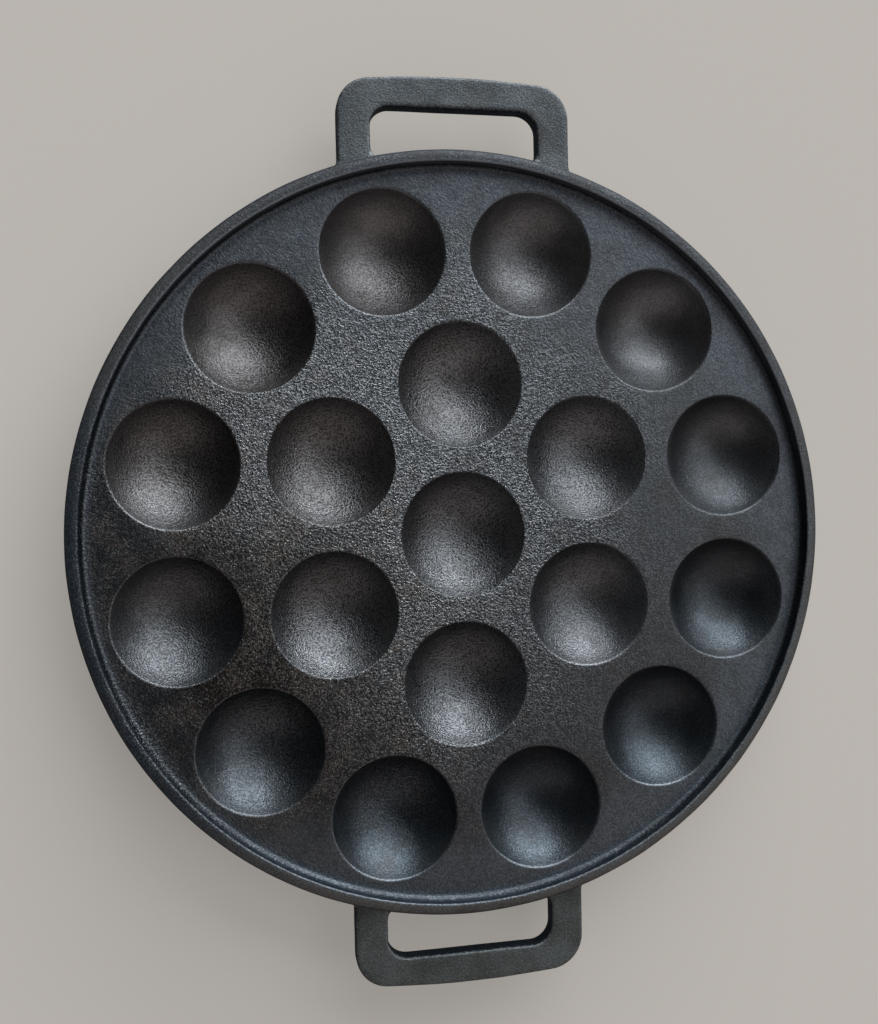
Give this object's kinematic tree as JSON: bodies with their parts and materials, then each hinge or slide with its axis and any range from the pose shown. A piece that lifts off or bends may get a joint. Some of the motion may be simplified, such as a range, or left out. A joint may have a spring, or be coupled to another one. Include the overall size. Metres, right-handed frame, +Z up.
{
  "type": "poffertjes pan",
  "caption": "Round cast-iron griddle pan with rings of small spherical hollows, a low raised rim and two flat loop handles.",
  "frame": {"origin": "centre of the flat ring that the pan stands on, under the middle hollow", "axes": "+Z up out of the hollows, +Y through the middle of one loop handle, +X across the handles"},
  "size_m": [0.26, 0.31, 0.0233],
  "materials": {
    "seasoned_iron": "seasoned, with a fine sandy casting grain"
  },
  "bodies": {
    "root": {"griddle_plate": "seasoned_iron", "outer_wall": "seasoned_iron", "hollow_bowl_01": "seasoned_iron", "hollow_bowl_02": "seasoned_iron", "hollow_bowl_03": "seasoned_iron", "hollow_bowl_04": "seasoned_iron", "hollow_bowl_05": "seasoned_iron", "hollow_bowl_06": "seasoned_iron", "hollow_bowl_07": "seasoned_iron", "hollow_bowl_08": "seasoned_iron", "hollow_bowl_09": "seasoned_iron", "hollow_bowl_10": "seasoned_iron", "hollow_bowl_11": "seasoned_iron", "hollow_bowl_12": "seasoned_iron", "hollow_bowl_13": "seasoned_iron", "hollow_bowl_14": "seasoned_iron", "hollow_bowl_15": "seasoned_iron", "hollow_bowl_16": "seasoned_iron", "hollow_bowl_17": "seasoned_iron", "hollow_bowl_18": "seasoned_iron", "hollow_bowl_19": "seasoned_iron", "loop_handle_back": "seasoned_iron", "loop_handle_front": "seasoned_iron"}
  },
  "joints": []
}
